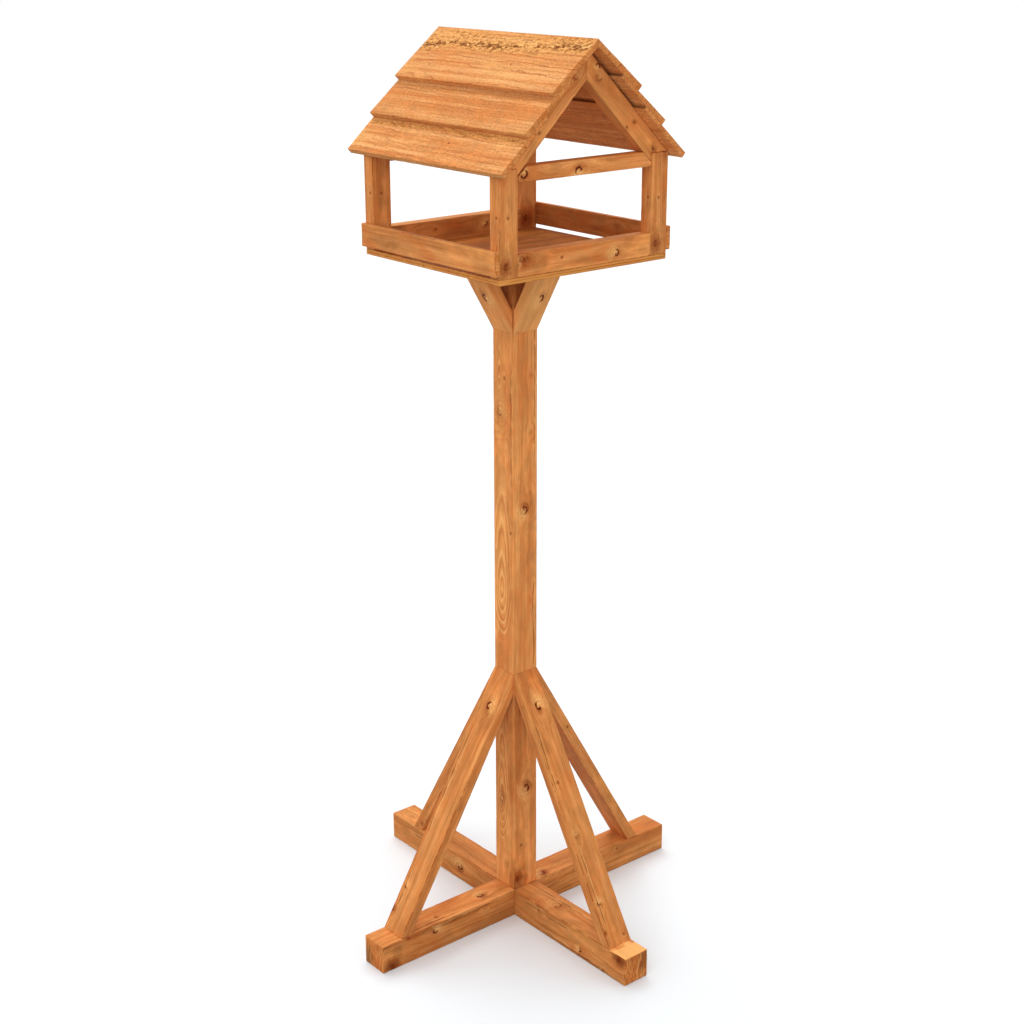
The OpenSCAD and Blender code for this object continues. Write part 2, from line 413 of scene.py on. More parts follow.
    def torn(self):
        """Torn grain: pits and pale crumbs."""
        broken = self.figure(130.0, 240.0, 4.0, 0.7)
        loose = self.step(self.rough, 0.02, 0.35)
        pits = self.step(self.line(self.rough, 0.10, broken), 0.57, 0.67)
        self.pits = self.times(pits, loose, self.line(self.rough, 0.6, 0.4))
        crumbs = self.times(self.step(self.rough, 0.0, 0.8), self.step(broken, 0.48, 0.38))
        self.lay("torn", loose, 0.28)
        self.lay("pit", self.pits)
        self.lay("crumb", crumbs, 0.5)

    def relief(self):
        """The height of the surface, for the bump."""
        fine = self.look["fibre_relief"]
        height = self.times(self.late, self.look["ring_relief"])
        for layer, amount in ((self.fibre, fine), (self.streak, fine), (self.crescent, -CRESCENT_DEPTH),
                              (self.crack, -CRACK_DEPTH), (self.pits, -PIT_DEPTH)):
            height = self.line(layer, amount, height)
        return height

    def sawn(self, height):
        """The marks of a saw, in the height and as specks on the long sides."""
        marks = self.figure(520.0, 24.0, 2.0, 0.6)
        fuzz = self.figure(230.0, 400.0, 3.0, 0.7)
        for layer in (marks, fuzz):
            height = self.line(layer, self.look["saw_marks"], height)
        speck = self.minus(self.uneven(fuzz, self.look["speck"]), 1.0)
        speck = self.line(speck, self.minus(1.0, self.end), 1.0)
        self.colour = self.shade(self.colour, speck)
        return height

    def surface(self, height):
        look = self.look
        bump = self.make("ShaderNodeBump", {
            "Strength": BUMP_STRENGTH, "Distance": BUMP_HEIGHT, "Height": height})
        dull = self.step(self.calc("ADD", self.streak, self.times(self.late, -0.2)), 0.2, 0.8,
                         look["rough_low"], look["rough_high"])
        shader = self.make("ShaderNodeBsdfPrincipled", {
            "Base Color": self.colour, "Roughness": dull, "Specular IOR Level": SHEEN,
            "Specular Tint": SHEEN_TINT, "Normal": bump.outputs[0]})
        return self.show(shader.outputs[0])


def wood_material(name, look):
    wood = Wood(name, look)
    wood.rings()
    wood.ground()
    if look["plies"]:
        wood.plies()
    for feature in (wood.pale_where_bright, wood.ends, wood.arrises, wood.knots, wood.flames, wood.cracks, wood.torn):
        feature()
    height = wood.relief()
    if look["saw_marks"]:
        height = wood.sawn(height)
    return wood.surface(height)


PINE_LOOK = dict(
    deep=linear(198, 121, 63), mid=linear(210, 137, 74), pale=linear(221, 149, 87),
    late=linear(160, 68, 22), late_mix=0.42, late_from=0.78, late_soft=0.12,
    year_low=0.25, year_power=1.4,
    wander=1.8, wave=0.5, ripple=0.3, blotch=0.15, fibre=0.09, resin_mix=0.36,
    stain=linear(174, 88, 36), stain_mix=0.55, bright=linear(236, 164, 88), bright_mix=0.4,
    end=linear(246, 225, 201), end_mix=0.8, end_late=0.7, comb_mix=0.3,
    plies=0,
    worn=linear(240, 176, 104), worn_mix=0.4, bruise_mix=0.85,
    knot=linear(138, 52, 8), crescent=linear(90, 16, 0), fan=linear(250, 194, 120),
    split=linear(100, 46, 18),
    torn=linear(222, 156, 78), pit=linear(122, 72, 28), crumb=linear(252, 208, 130),
    ring_relief=0.25, fibre_relief=0.12, saw_marks=0.0, speck=0.0,
    rough_low=0.55, rough_high=0.72,
)
ROOF_LOOK = dict(
    PINE_LOOK,
    deep=linear(206, 132, 74), mid=linear(219, 151, 90), pale=linear(231, 168, 108),
    late=linear(156, 70, 24), late_mix=0.95, late_from=0.77, late_soft=0.05, year_low=0.22, year_power=2.0,
    wander=1.0, wave=2.2, ripple=0.25, blotch=0.06, fibre=0.08, resin_mix=0.25,
    stain=linear(208, 126, 64), stain_mix=0.5, bright=linear(240, 180, 108), bright_mix=0.4,
    end_late=0.3, comb_mix=0.0, worn_mix=0.2, bruise_mix=0.0, pit=linear(124, 68, 24),
    saw_marks=0.4, speck=0.2, rough_low=0.7, rough_high=0.85,
)
PLY_LOOK = dict(
    PINE_LOOK,
    deep=linear(176, 108, 48), mid=linear(196, 127, 58), pale=linear(216, 150, 74),
    late_mix=0.5, year_low=0.15, wander=2.2, worn_mix=0.2, end_mix=0.0, end_late=0.0, comb_mix=0.0, plies=4,
)


# -------- pieces
DIRECTIONS = {
    "right": (1, 0, 0), "left": (-1, 0, 0), "back": (0, 1, 0),
    "front": (0, -1, 0), "top": (0, 0, 1), "under": (0, 0, -1),
}
KINDS = {
    # kind: (dark core, dark curls, pale fan, swirling lines)
    "crescent": (0.0, 1.0, 0.85, 0.4),
    "smudge": (1.0, 0.0, 0.0, 0.0),
    "pin": (0.9, 0.4, 0.5, 0.0),
    "swirl": (0.1, 0.4, 0.4, 0.5),
    "faint": (0.3, 0.0, 0.2, 0.2),
    "cluster": (1.0, 0.25, 0.12, 0.15),
    "plume": (0.45, 1.0, 1.0, 0.5),
}
# what a face without a knot, a crack or a flame stores: one that is far away or has no size
NO_KNOT = (90.0, 0, 0, 0, 0, 0, 0, 0, 0)
NO_CRACK = (9.0, 0, 0)
NO_FLAME = (0, 0, 0)

WELD = 0.02 * MM
FLAT_TURN = math.radians(0.4)
SHARP_TURN = math.radians(20)
CUT_WELD = 1e-7
# the cuts start just inside the rounded arrises
CUT_MARGIN = 1.02
# sides whose areas differ by less than this share count as equally wide
SAME_AREA = 0.9999

# unevenness: the size of its features along the grain and across it in metres, and how deep they go
DENT_SIZE, DENT_DEPTH = np.array([0.05, 0.02, 0.02]), 0.22
NICK_SIZE, NICK_DEPTH = np.array([0.012, 0.01, 0.01]), 0.7
TORN_PATCH = np.array([0.05, 0.014, 0.014])
TORN_PIT = np.array([0.007, 0.0035, 0.0035])
TORN_BEND, TORN_SWAY = 0.035, 5
SHADE_GRAIN = 0.012
# the heart of the tree bends slowly: the length of its bends along the piece and across it, in metres
HEART_BEND = (0.15, 0.5, 0.5)
# the grain is drawn aside round a knot, this many radii far, and as much further along the grain
KNOT_REACH = 1.8
KNOT_ROOT = 0.012
DRAWN_ASIDE, DRAWN_OUT = 0.85, 1.1


def positive(v):
    v = Vector(v).normalized()
    big = max(range(3), key=lambda i: abs(v[i]))
    return -v if v[big] < 0 else v


def clean_solid(node):
    """The CAD node's shape as flat many-sided faces."""
    bm = bmesh.new()
    bm.from_mesh(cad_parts[node].data)
    bmesh.ops.remove_doubles(bm, verts=bm.verts, dist=WELD)
    bmesh.ops.dissolve_limit(bm, angle_limit=FLAT_TURN, verts=bm.verts, edges=bm.edges)
    bmesh.ops.recalc_face_normals(bm, faces=bm.faces)
    return bm


def wood_axes(bm, along=None):
    """Grain direction, then the normal of the widest side, then the third axis."""
    if along is None:
        longest = max(bm.edges, key=lambda e: e.calc_length())
        along = longest.verts[1].co - longest.verts[0].co
    along = positive(along)
    sides = [f for f in bm.faces if abs(f.normal.dot(along)) < 0.3]
    largest = max(f.calc_area() for f in sides)
    # a square length has equal sides: then the one that faces most along X is taken, on every run
    level = [f for f in sides if f.calc_area() > SAME_AREA * largest]
    widest = max(level, key=lambda f: [round(abs(c), 3) for c in f.normal]).normal
    second = positive(widest - along * widest.dot(along))
    return along, second, positive(along.cross(second))


def slice_solid(bm, axis, low, high, step):
    count = max(2, int(round((high - low) / step)))
    for i in range(1, count):
        place = low + (high - low) * i / count
        bmesh.ops.bisect_plane(bm, geom=bm.verts[:] + bm.edges[:] + bm.faces[:],
                               dist=CUT_WELD, plane_co=axis * place, plane_no=axis)


def ordered_mesh(bm, name):
    """The shape as a mesh whose vertices and faces come in an order set by their places alone."""
    points = sorted(bm.verts, key=lambda vert: vert.co[:])
    for rank, vert in enumerate(points):
        vert.index = rank
    faces = []
    for face in bm.faces:
        ring = [vert.index for vert in face.verts]
        first = ring.index(min(ring))
        faces.append(ring[first:] + ring[:first])
    mesh = bpy.data.meshes.new(name)
    mesh.from_pydata([vert.co[:] for vert in points], [], sorted(faces))
    return mesh


def read(items, name, kind, width=3):
    values = np.zeros(len(items) * width, kind)
    items.foreach_get(name, values)
    return values.reshape(-1, width)


def vector_attribute(mesh, name, domain, values):
    made = mesh.attributes.new(name, "FLOAT_VECTOR", domain)
    made.data.foreach_set("vector", np.asarray(values, np.float32).ravel())


class Timber:
    """A CAD node's shape as a fine mesh with rounded arrises, and the places of its points in the piece:
    along the grain, along the normal of the widest side, and the third way, in metres from its middle.
    Sides are numbered so that side // 2 is their axis, and the odd ones face backwards along it."""

    def __init__(self, node, seed, arris, steps, along):
        bm = clean_solid(node)
        self.axes = wood_axes(bm, along)
        self.basis = np.array(self.axes)
        corners = np.array([vert.co for vert in bm.verts]) @ self.basis.T
        low, high = corners.min(0), corners.max(0)
        self.size = high - low
        self.middle = (low + high) / 2
        sharp = [e for e in bm.edges if len(e.link_faces) == 2 and e.calc_face_angle_signed() > SHARP_TURN]
        bmesh.ops.bevel(bm, geom=sharp, offset=arris, offset_type="OFFSET", segments=2, profile=0.5,
                        affect="EDGES", clamp_overlap=True)
        margin = arris * CUT_MARGIN
        for axis, start, stop, step in zip(self.axes, low, high, steps):
            slice_solid(bm, axis, start + margin, stop - margin, step)
        bm.normal_update()
        self.mesh = ordered_mesh(bm, node)
        bm.free()

        self.corners = read(self.mesh.vertices, "co", float)
        self.normals = read(self.mesh.vertices, "normal", np.float32)
        self.at = self.corners @ self.basis.T - self.middle
        self.facing = self.normals @ self.basis.T
        self.wear = 1.0 - smooth(np.abs(self.facing).max(1), 0.93, 0.995)
        self.seed = seed
        self.shift = np.random.RandomState(seed).uniform(0.0, 9.0, 3)
        plain = [way for axis in self.axes for way in (axis, -axis)]
        self.side = {name: int(np.argmax([Vector(direction).dot(way) for way in plain]))
                     for name, direction in DIRECTIONS.items()}

    def noise(self, size, extra):
        return noise3(self.at / size + self.shift, self.seed + extra)

    def on_side(self, side):
        return self.facing[:, side // 2] * (1 - 2 * (side % 2)) > 0.6

    def grain(self, knots):
        """The places of the points, drawn aside round each knot."""
        drawn = self.at.copy()
        for kind, name, along, across, radius, _ in knots:
            if kind == "smudge":
                continue
            side = self.side[name]
            depth_axis = side // 2
            across_axis = 3 - depth_axis
            outward = 1.0 - 2.0 * (side % 2)
            radius = abs(radius)
            reach = radius * MM * KNOT_REACH
            off_along = (self.at[:, 0] - along * MM) / (reach * KNOT_REACH)
            off_across = (self.at[:, across_axis] - across * MM) / reach
            below = self.at[:, depth_axis] - outward * self.size[depth_axis] / 2
            below = below / (reach * 2.0 + KNOT_ROOT)
            pull = np.exp(-(off_along ** 2 + off_across ** 2) * 0.5 - below ** 2)
            drawn[:, across_axis] -= (self.at[:, across_axis] - across * MM) * pull * DRAWN_ASIDE
            drawn[:, depth_axis] += outward * pull * radius * MM * DRAWN_OUT
        return drawn

    def rings(self, drawn, pith, lean, bend, spacing):
        """How many rings lie between each point and the heart of the tree, in both ways across the grain."""
        slow = self.at / HEART_BEND + self.seed * 1.7
        counts = []
        for axis, offset, extra in ((1, 0.0, 0), (2, 31.3, 5)):
            heart = Vector(pith).dot(self.axes[axis]) * MM
            heart = heart + Vector(lean).dot(self.axes[axis]) * self.at[:, 0]
            heart = heart + noise3(slow + offset, self.seed + extra) * bend * MM
            counts.append((drawn[:, axis] - heart) / (spacing * MM))
        return counts

    def tear(self, torn):
        """How rough each point is where the saw tore the grain, and how deep it is torn out, in mm."""
        name, centre, slant, half, soft, bite, amount = torn
        side = self.side[name]
        along = self.at[:, 0]
        line = np.stack([along / TORN_BEND, along * 0, along * 0], 1)
        off = self.at[:, 3 - side // 2] - centre * MM - slant * along
        off = off + noise3(line, self.seed + 21) * TORN_SWAY * MM
        spread = np.where(off * centre > 0, 1.7, 0.8)
        off = np.abs(off)
        patch = 0.5 + 0.5 * self.noise(TORN_PATCH, 23)
        ragged = (0.75 + 0.5 * smooth(patch, 0.2, 0.8)) * MM
        main = 1.0 - smooth(off, 0.4 * half * ragged, 1.6 * half * ragged)
        around = (1.0 - smooth(off, half * ragged, soft * spread * ragged)) * (0.35 + 0.25 * patch)
        rough = np.maximum(main, around) * self.on_side(side) * amount
        return rough, rough * (0.5 + 0.5 * self.noise(TORN_PIT, 22)) * bite

    def press_in(self, torn):
        """Dents, nicks on the arrises and torn grain, always inward. Returns how rough each point is."""
        dent = 0.5 + 0.5 * self.noise(DENT_SIZE, 11)
        nick = smooth(self.noise(NICK_SIZE, 12), 0.35, 0.9)
        depth = dent * DENT_DEPTH * MM + self.wear * nick * NICK_DEPTH * MM
        rough = np.zeros(len(self.at))
        if torn is not None:
            rough, torn_out = self.tear(torn)
            depth = depth + torn_out * MM
        self.mesh.vertices.foreach_set("co", (self.corners - self.normals * depth[:, None]).ravel())
        return rough

    # shades scale the brightness of patches on one side: stains and dark marks, and also painted shade and
    # painted highlights
    def brightness(self, tone, shades):
        light = np.full(len(self.at), tone)
        for name, along, across, reach_along, reach_across, gain in shades:
            side = self.side[name]
            first, second = [axis for axis in range(3) if axis != side // 2]
            off = np.hypot((self.at[:, first] - along * MM) / (reach_along * MM),
                           (self.at[:, second] - across * MM) / (reach_across * MM))
            off = off + 0.35 * self.noise(SHADE_GRAIN, 31)
            shaded = 1.0 + (gain - 1.0) * (1.0 - smooth(off, 0.5, 1.1))
            light = light * np.where(self.on_side(side), shaded, 1.0)
        return light

    def look_at_faces(self):
        """Where the middle of each face lies, and on which side."""
        self.faces = read(self.mesh.polygons, "center", np.float32) @ self.basis.T - self.middle
        facing = read(self.mesh.polygons, "normal", np.float32) @ self.basis.T
        scores = [facing[:, axis] * sign for axis in range(3) for sign in (1, -1)]
        self.face_side = np.argmax(scores, 0)

    def nearest(self, marks, nothing):
        """For each face the values of the nearest mark on its side. Marks are (side, distance, values)."""
        closest = np.full(len(self.faces), 1e9)
        values = np.tile(np.array(nothing, float), (len(self.faces), 1))
        for side, distance, found in marks:
            take = (self.face_side == side) & (distance < closest)
            closest[take] = distance[take]
            values[take] = found
        return values

    def mark_knots(self, knots):
        marks = []
        for kind, name, along, across, radius, turn in knots:
            side = self.side[name]
            size, hand = abs(radius) * MM, math.copysign(1.0, radius)
            distance = np.hypot(self.faces[:, 0] - along * MM,
                                self.faces[:, 3 - side // 2] - across * MM) / size
            turn = math.radians(turn)
            dark, curled, pale, swirl = KINDS[kind]
            marks.append((side, distance, (
                along * MM, across * MM, hand / size,
                hand * math.cos(turn), hand * math.sin(turn), swirl, dark, curled, pale)))
        values = self.nearest(marks, NO_KNOT)
        for name, first in (("wood_knot", 0), ("wood_knot_look", 3), ("wood_knot_kind", 6)):
            vector_attribute(self.mesh, name, "FACE", values[:, first:first + 3])

    def mark_cracks(self, cracks):
        marks = []
        for name, across, start, stop in cracks:
            side = self.side[name]
            middle, half = (start + stop) / 2 * MM, (stop - start) / 2 * MM
            beyond = np.maximum(np.abs(self.faces[:, 0] - middle) - half, 0.0)
            distance = beyond + np.abs(self.faces[:, 3 - side // 2] - across * MM)
            marks.append((side, distance, (across * MM, middle, 1.0 / half)))
        vector_attribute(self.mesh, "wood_crack", "FACE", self.nearest(marks, NO_CRACK))

    def mark_flames(self, flames):
        marks = []
        for name, along, across, half_width in flames:
            distance = np.abs(self.faces[:, 0] - along * MM) / half_width
            marks.append((self.side[name], distance, (along * MM, across * MM, 1.0 / (half_width * MM))))
        vector_attribute(self.mesh, "wood_flame", "FACE", self.nearest(marks, NO_FLAME))

    def mark_sides(self):
        """Where each face corner lies on its own side: along the grain and across it."""
        vertex = read(self.mesh.loops, "vertex_index", np.int32, 1)[:, 0]
        sizes = read(self.mesh.polygons, "loop_total", np.int32, 1)[:, 0]
        across = np.repeat(np.where(self.face_side // 2 == 1, 2, 1), sizes)
        plane = np.stack([self.at[vertex, 0], self.at[vertex, across], np.zeros(len(vertex))], 1)
        vector_attribute(self.mesh, "wood_face", "CORNER", plane)


def board(node, slot_name, material, seed, arris, steps, pith, spacing, knots=(), along=None,
          tone=1.0, torn=None, bend=4.0, lean=(0, 0, 0), cracks=(), flames=(), shades=()):
    """One piece of timber in place of a CAD node, with the wood's own coordinates for its material. pith is
    where the heart of the tree lies from the piece's middle, in mm; lean is how far it moves across for
    each metre along; spacing is the width of a ring in mm. From the middle of a side are measured: knots
    (kind, side, mm along, mm across, radius in mm, turn in degrees), where a radius below zero curls the
    other way; cracks (side, mm across, mm from, mm to); flames (side, mm along, mm across, half width in
    mm); shades (side, mm along, mm across, reach along, reach across, brightness); and torn (side, mm
    across, slant, half width in mm, reach in mm, depth in mm, strength)."""
    timber = Timber(node, seed, arris, steps, along)
    mesh = timber.mesh
    drawn = timber.grain(knots)
    ring_v, ring_w = timber.rings(drawn, pith, lean, bend, spacing)
    rough = timber.press_in(torn)
    light = timber.brightness(tone, shades)
    end = smooth(np.abs(timber.facing[:, 0]), 0.6, 0.9)
    vector_attribute(mesh, "wood_grain", "POINT", drawn + timber.shift)
    vector_attribute(mesh, "wood_rings", "POINT", np.stack([ring_v, ring_w, light], 1))
    vector_attribute(mesh, "wood_marks", "POINT", np.stack([end, timber.wear, rough], 1))
    if slot_name == "plywood":
        through = timber.at[:, 1] / timber.size[1] + 0.5
        at_edge = 1.0 - smooth(np.abs(timber.facing[:, 1]), 0.3, 0.7)
        vector_attribute(mesh, "wood_ply", "POINT", np.stack([through, at_edge, at_edge], 1))
    timber.look_at_faces()
    timber.mark_knots(knots)
    timber.mark_cracks(cracks)
    timber.mark_flames(flames)
    timber.mark_sides()
    mesh.polygons.foreach_set("use_smooth", np.ones(len(mesh.polygons), bool))
    mesh.materials.append(material)
    mesh.update()

    piece = new_object("wood_" + node, mesh)
    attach(piece, "root")
    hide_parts(node)


# lengths of timber, and half a side's width, in mm
POLE_LENGTH, BEAM_LENGTH, HALF_ACROSS = 1285, 745, 28
# radii in mm of the knots that are placed at random
RANDOM_PIN, LARGEST = 2.4, 7
# how far apart the cuts lie: along the grain and then both ways across it
CUTS = (5.0 * MM, 3.0 * MM, 3.0 * MM)
FINE_CUTS = (3.0 * MM, 2.4 * MM, 2.4 * MM)
SHEET_CUTS = (5.0 * MM, 5.0 * MM, 5.0 * MM)


def random_knots(seed, count, length, sides):
    """Knots for sides that are plain otherwise, kept clear of the ends and the arrises."""
    rng = np.random.RandomState(seed)
    found = []
    for _ in range(count):
        kind = ["pin", "swirl", "crescent", "faint"][rng.randint(4)]
        size = RANDOM_PIN if kind == "pin" else rng.uniform(0.6, 1.0) * LARGEST
        found.append((kind, sides[rng.randint(len(sides))], rng.uniform(-0.46, 0.46) * length,
                      rng.uniform(-0.7, 0.7) * HALF_ACROSS, size, rng.uniform(0, 360)))
    return found


pine = wood_material("stained_pine", PINE_LOOK)
roof = wood_material("sawn_roof_board", ROOF_LOOK)
ply = wood_material("stained_plywood", PLY_LOOK)


def batten(node, seed, arris, pith, spacing, **more):
    """A planed length of pine, with its arrises rounded by so many mm."""
    board(node, "pine", pine, seed, arris * MM, CUTS, pith, spacing, **more)


# the pole and its cross foot
batten("pole", 3, 0.9, (-8, 10, 0), 4.4, tone=1.14, bend=5.0, lean=(0, 0.065, 0), knots=[
    ("pin", "front", 420, 3, 2.5, 50), ("swirl", "front", 352, -8, 10, -130),
    ("pin", "front", 122, 20, 2.2, 75), ("faint", "front", -11, -6, 5, -155),
    ("swirl", "front", -446, -10, 9, 105), ("faint", "front", -592, 4, 5, 160),
    ("faint", "right", 425, 14, 4, 180), ("faint", "right", 315, 14, 4, 180),
    ("plume", "right", 167, -3, 8, 48), ("plume", "right", -419, 1, 9, 50),
    ("pin", "right", -545, -11, 2.5, 180), ("cluster", "right", -620, -20, 9, 0),
    *random_knots(4, 8, POLE_LENGTH, ["back", "left"]),
], cracks=[
    ("front", 22, 180, 480), ("right", 20, -250, 60), ("right", 22, 230, 560),
], flames=[
    ("front", 388, -11, 6), ("front", 2, -6, 14), ("front", -470, -8, 11),
], shades=[
    ("front", 0, 0, 2000, 200, 1.04), ("right", 0, 0, 2000, 200, 1.04),
    # painted shade at the top of the pole, in the V under the brackets
    ("front", 630, 0, 70, 60, 0.72), ("right", 630, 0, 70, 60, 0.72),
    ("right", -625, -16, 36, 22, 0.7), ("front", -610, 20, 46, 24, 0.8),
    ("right", -330, -18, 90, 12, 0.86), ("right", 120, 16, 160, 12, 0.88),
    ("front", 200, 18, 200, 10, 0.9), ("front", -380, 18, 120, 10, 0.88),
])
batten("lower_foot_beam", 5, 1.0, (0, -80, -35), 5.2, tone=0.97, knots=[
    ("plume", "front", -136, 0, 8, -70), ("swirl", "top", 146, -3, 9, -10),
    ("swirl", "front", 118, 18, 6, 20), ("crescent", "front", 243, -14, 5, -15),
    ("pin", "front", 310, -26, 3, -15), ("faint", "top", -331, -7, 8, -83),
    ("cluster", "front", 353, 18, 9, 0), ("faint", "front", 40, -20, 5, 0),
    *random_knots(6, 5, BEAM_LENGTH, ["back"]),
], cracks=[
    ("front", 17, 60, 230), ("front", -24, 120, 300), ("top", 14, 60, 250), ("front", 8, -330, -180),
], shades=[
    ("top", 356, 0, 34, 70, 1.42), ("front", 60, 0, 110, 80, 0.94), ("front", 353, 22, 20, 14, 0.52),
    ("front", 250, -30, 110, 9, 0.72), ("right", 14, 25, 34, 20, 0.6), ("right", 0, -24, 40, 12, 1.12),
    ("front", -250, 0, 60, 30, 1.08),
])
batten("upper_foot_beam", 7, 1.0, (-42, 0, 36), 4.6, tone=0.97, knots=[
    ("plume", "top", 41, 14, 7.5, 40), ("plume", "top", -109, 1, 7, 83),
    ("faint", "right", -120, 16, 4, 89), ("crescent", "right", -247, 16, 6, -137),
    ("smudge", "right", -311, 25, 3, 0), ("cluster", "right", -354, -20, 11, 0),
    ("pin", "right", 237, 20, 2.4, -20), ("pin", "top", -230, 8, 2.4, 0),
    *random_knots(8, 5, BEAM_LENGTH, ["left"]),
], cracks=[
    ("right", 21, -240, -90), ("top", 20, -300, -150), ("top", 4, 60, 230), ("right", 25, -372, -330),
], shades=[
    ("front", 0, 0, 90, 90, 1.12), ("top", -200, 0, 170, 90, 1.13), ("front", -14, -27, 38, 30, 0.46),
    ("right", -352, -21, 17, 15, 0.62), ("top", -350, 0, 30, 60, 1.1), ("right", -340, -8, 14, 40, 0.8),
    ("right", -225, 26, 90, 12, 0.75), ("top", 300, 0, 60, 50, 1.1), ("right", -120, -20, 80, 16, 0.85),
])

# the braces of the foot and the brackets of the tray, one on each side of the pole
BRACE_KNOTS = {
    "front": [("crescent", "front", 199, 1, 8, -110), ("faint", "front", 52, -19, 4, -33),
              ("crescent", "front", -186, -16, 3.5, -152), ("cluster", "front", -238, -26, 6, 0)],
    "right": [("crescent", "right", 202, 3, 8.5, -132), ("swirl", "right", -55, -13, 5, 166),
              ("crescent", "right", -190, -15, 4.5, -156), ("smudge", "right", -246, -25, 3.5, 0),
              ("pin", "right", 54, -14, 2.4, -156), ("pin", "right", -262, 16, 2.2, 0)],
    "left": [("smudge", "front", -247, 5, 3.5, 0), ("crescent", "left", 190, 4, 8, 120),
             ("pin", "left", -60, -12, 2.4, 0), ("swirl", "left", -180, 10, 5, 60)],
    "back": [("pin", "right", 100, 2, 2.2, 0), ("crescent", "back", 196, -4, 8, -60),
             ("swirl", "back", 20, 12, 5, 100), ("crescent", "back", -170, 10, 4.5, 200)],
}
BRACE_CRACKS = {
    "front": [("front", -21, -110, 170), ("front", -18, -230, -150)],
    "right": [("right", -18, -250, -60), ("right", -22, 20, 190)],
    "left": [("left", 14, -150, 120)],
    "back": [("back", -16, -200, 80)],
}
# painted highlight on the front brace's narrow right side, near its head
BRACE_HIGHLIGHT = {"front": [("right", 225, 0, 90, 60, 1.16)]}
BRACKET_TURN = {"front": -57, "right": 50, "back": 120, "left": 230}
BRACKET_TONE = {"right": 1.25}
POLE_SIDES = ["front", "right", "back", "left"]
# each brace gets a painted highlight on its own side near the head, and is darker at its foot
for i, name in enumerate(POLE_SIDES):
    batten(name + "_foot_brace", 10 + i, 0.9, (38 - 9 * i, 30 - 7 * i, -18), 4.4, tone=0.99,
           knots=BRACE_KNOTS[name], cracks=BRACE_CRACKS[name],
           shades=[(name, 228, 9, 44, 16, 1.2), (name, -262, 0, 18, 40, 0.88), *BRACE_HIGHLIGHT.get(name, [])])
for i, name in enumerate(POLE_SIDES):
    batten(name + "_bracket", 30 + i, 0.9, (30 - 8 * i, 24 - 5 * i, 12), 4.4,
           tone=BRACKET_TONE.get(name, 1.21),
           knots=[("crescent", name, 3, 1, 8.5 if i % 2 else -8.5, BRACKET_TURN[name])])

# the tray, its posts and its rails
board("tray_floor", "plywood", ply, 40, 0.5 * MM, SHEET_CUTS, (25, 0, -90), 3.4, along=(0, 1, 0),
      lean=(0.06, 0, 0.05), bend=9.0, tone=1.0, shades=[("top", 0, 0, 600, 600, 1.08)])

CORNERS = ["front_left", "front_right", "back_left", "back_right"]
POST_KNOTS = [
    ("pin", "front", 12, 4, 2.0, 10), ("pin", "right", 11, -2, 2.0, 35),
    ("pin", "back", 30, 3, 2.0, 60), ("pin", "left", -22, -4, 2.0, 120),
]
POST_FOOT = {
    "front_right": ("cluster", "right", -70, -8, 9, 90), "back_right": ("cluster", "right", -70, -8, 9, 60),
    "back_left": ("cluster", "right", -70, -9, 9, 120), "front_left": ("cluster", "left", -70, 8, 8, 0),
}
POST_SHADES = [
    ("right", -78, 0, 20, 40, 0.82), ("front", -80, 0, 14, 40, 0.88), ("left", -78, 0, 20, 40, 0.85),
]
for i, name in enumerate(CORNERS):
    batten(name + "_post", 50 + i, 0.7, (16 + 3 * i, 22, 0), 3.6, tone=1.03,
           knots=POST_KNOTS + [POST_FOOT[name]], shades=POST_SHADES)
batten("front_rail", 60, 0.8, (0, 30, -8), 4.6, tone=0.98, shades=[
    ("front", -120, -4, 60, 14, 0.82), ("front", 20, 12, 60, 8, 0.88), ("front", 110, 0, 50, 12, 1.05),
])
batten("back_rail", 61, 0.8, (0, -30, 6), 4.6, tone=0.97, knots=[
    ("faint", "front", 60, 2, 6, 20), ("swirl", "back", -80, -4, 6, 200), ("pin", "back", 110, 6, 2.4, 0),
], shades=[
    # painted highlight on the top, and painted shade on the inner face
    ("top", 0, 0, 400, 60, 1.2), ("front", 0, 0, 600, 60, 0.85),
])
batten("left_rail", 62, 0.9, (-28, 0, -10), 4.2, tone=0.97, knots=[
    ("pin", "right", -53, 4, 2.6, -90), ("crescent", "right", 65, 0, 5, -50),
    ("crescent", "left", -70, 3, 6, 130), ("pin", "left", 90, -5, 2.4, 0),
], shades=[
    # the top gets a painted highlight
    ("right", -150, 8, 30, 34, 0.62), ("right", 0, -8, 40, 12, 0.85), ("top", 0, 0, 400, 60, 1.28),
])
batten("right_rail", 63, 0.9, (-24, 0, 20), 4.2, tone=1.18, knots=[
    ("cluster", "right", -139, 9, 10, 180), ("pin", "right", -56, 3, 2.2, -41),
    ("crescent", "right", 70, -6, 6.5, -30), ("pin", "left", 40, 0, 2.4, 0),
], shades=[
    ("right", -150, 8, 5, 14, 1.35), ("right", -112, 4, 30, 22, 0.78), ("right", 20, -10, 50, 10, 0.85),
    ("right", 110, 10, 30, 10, 0.88),
])

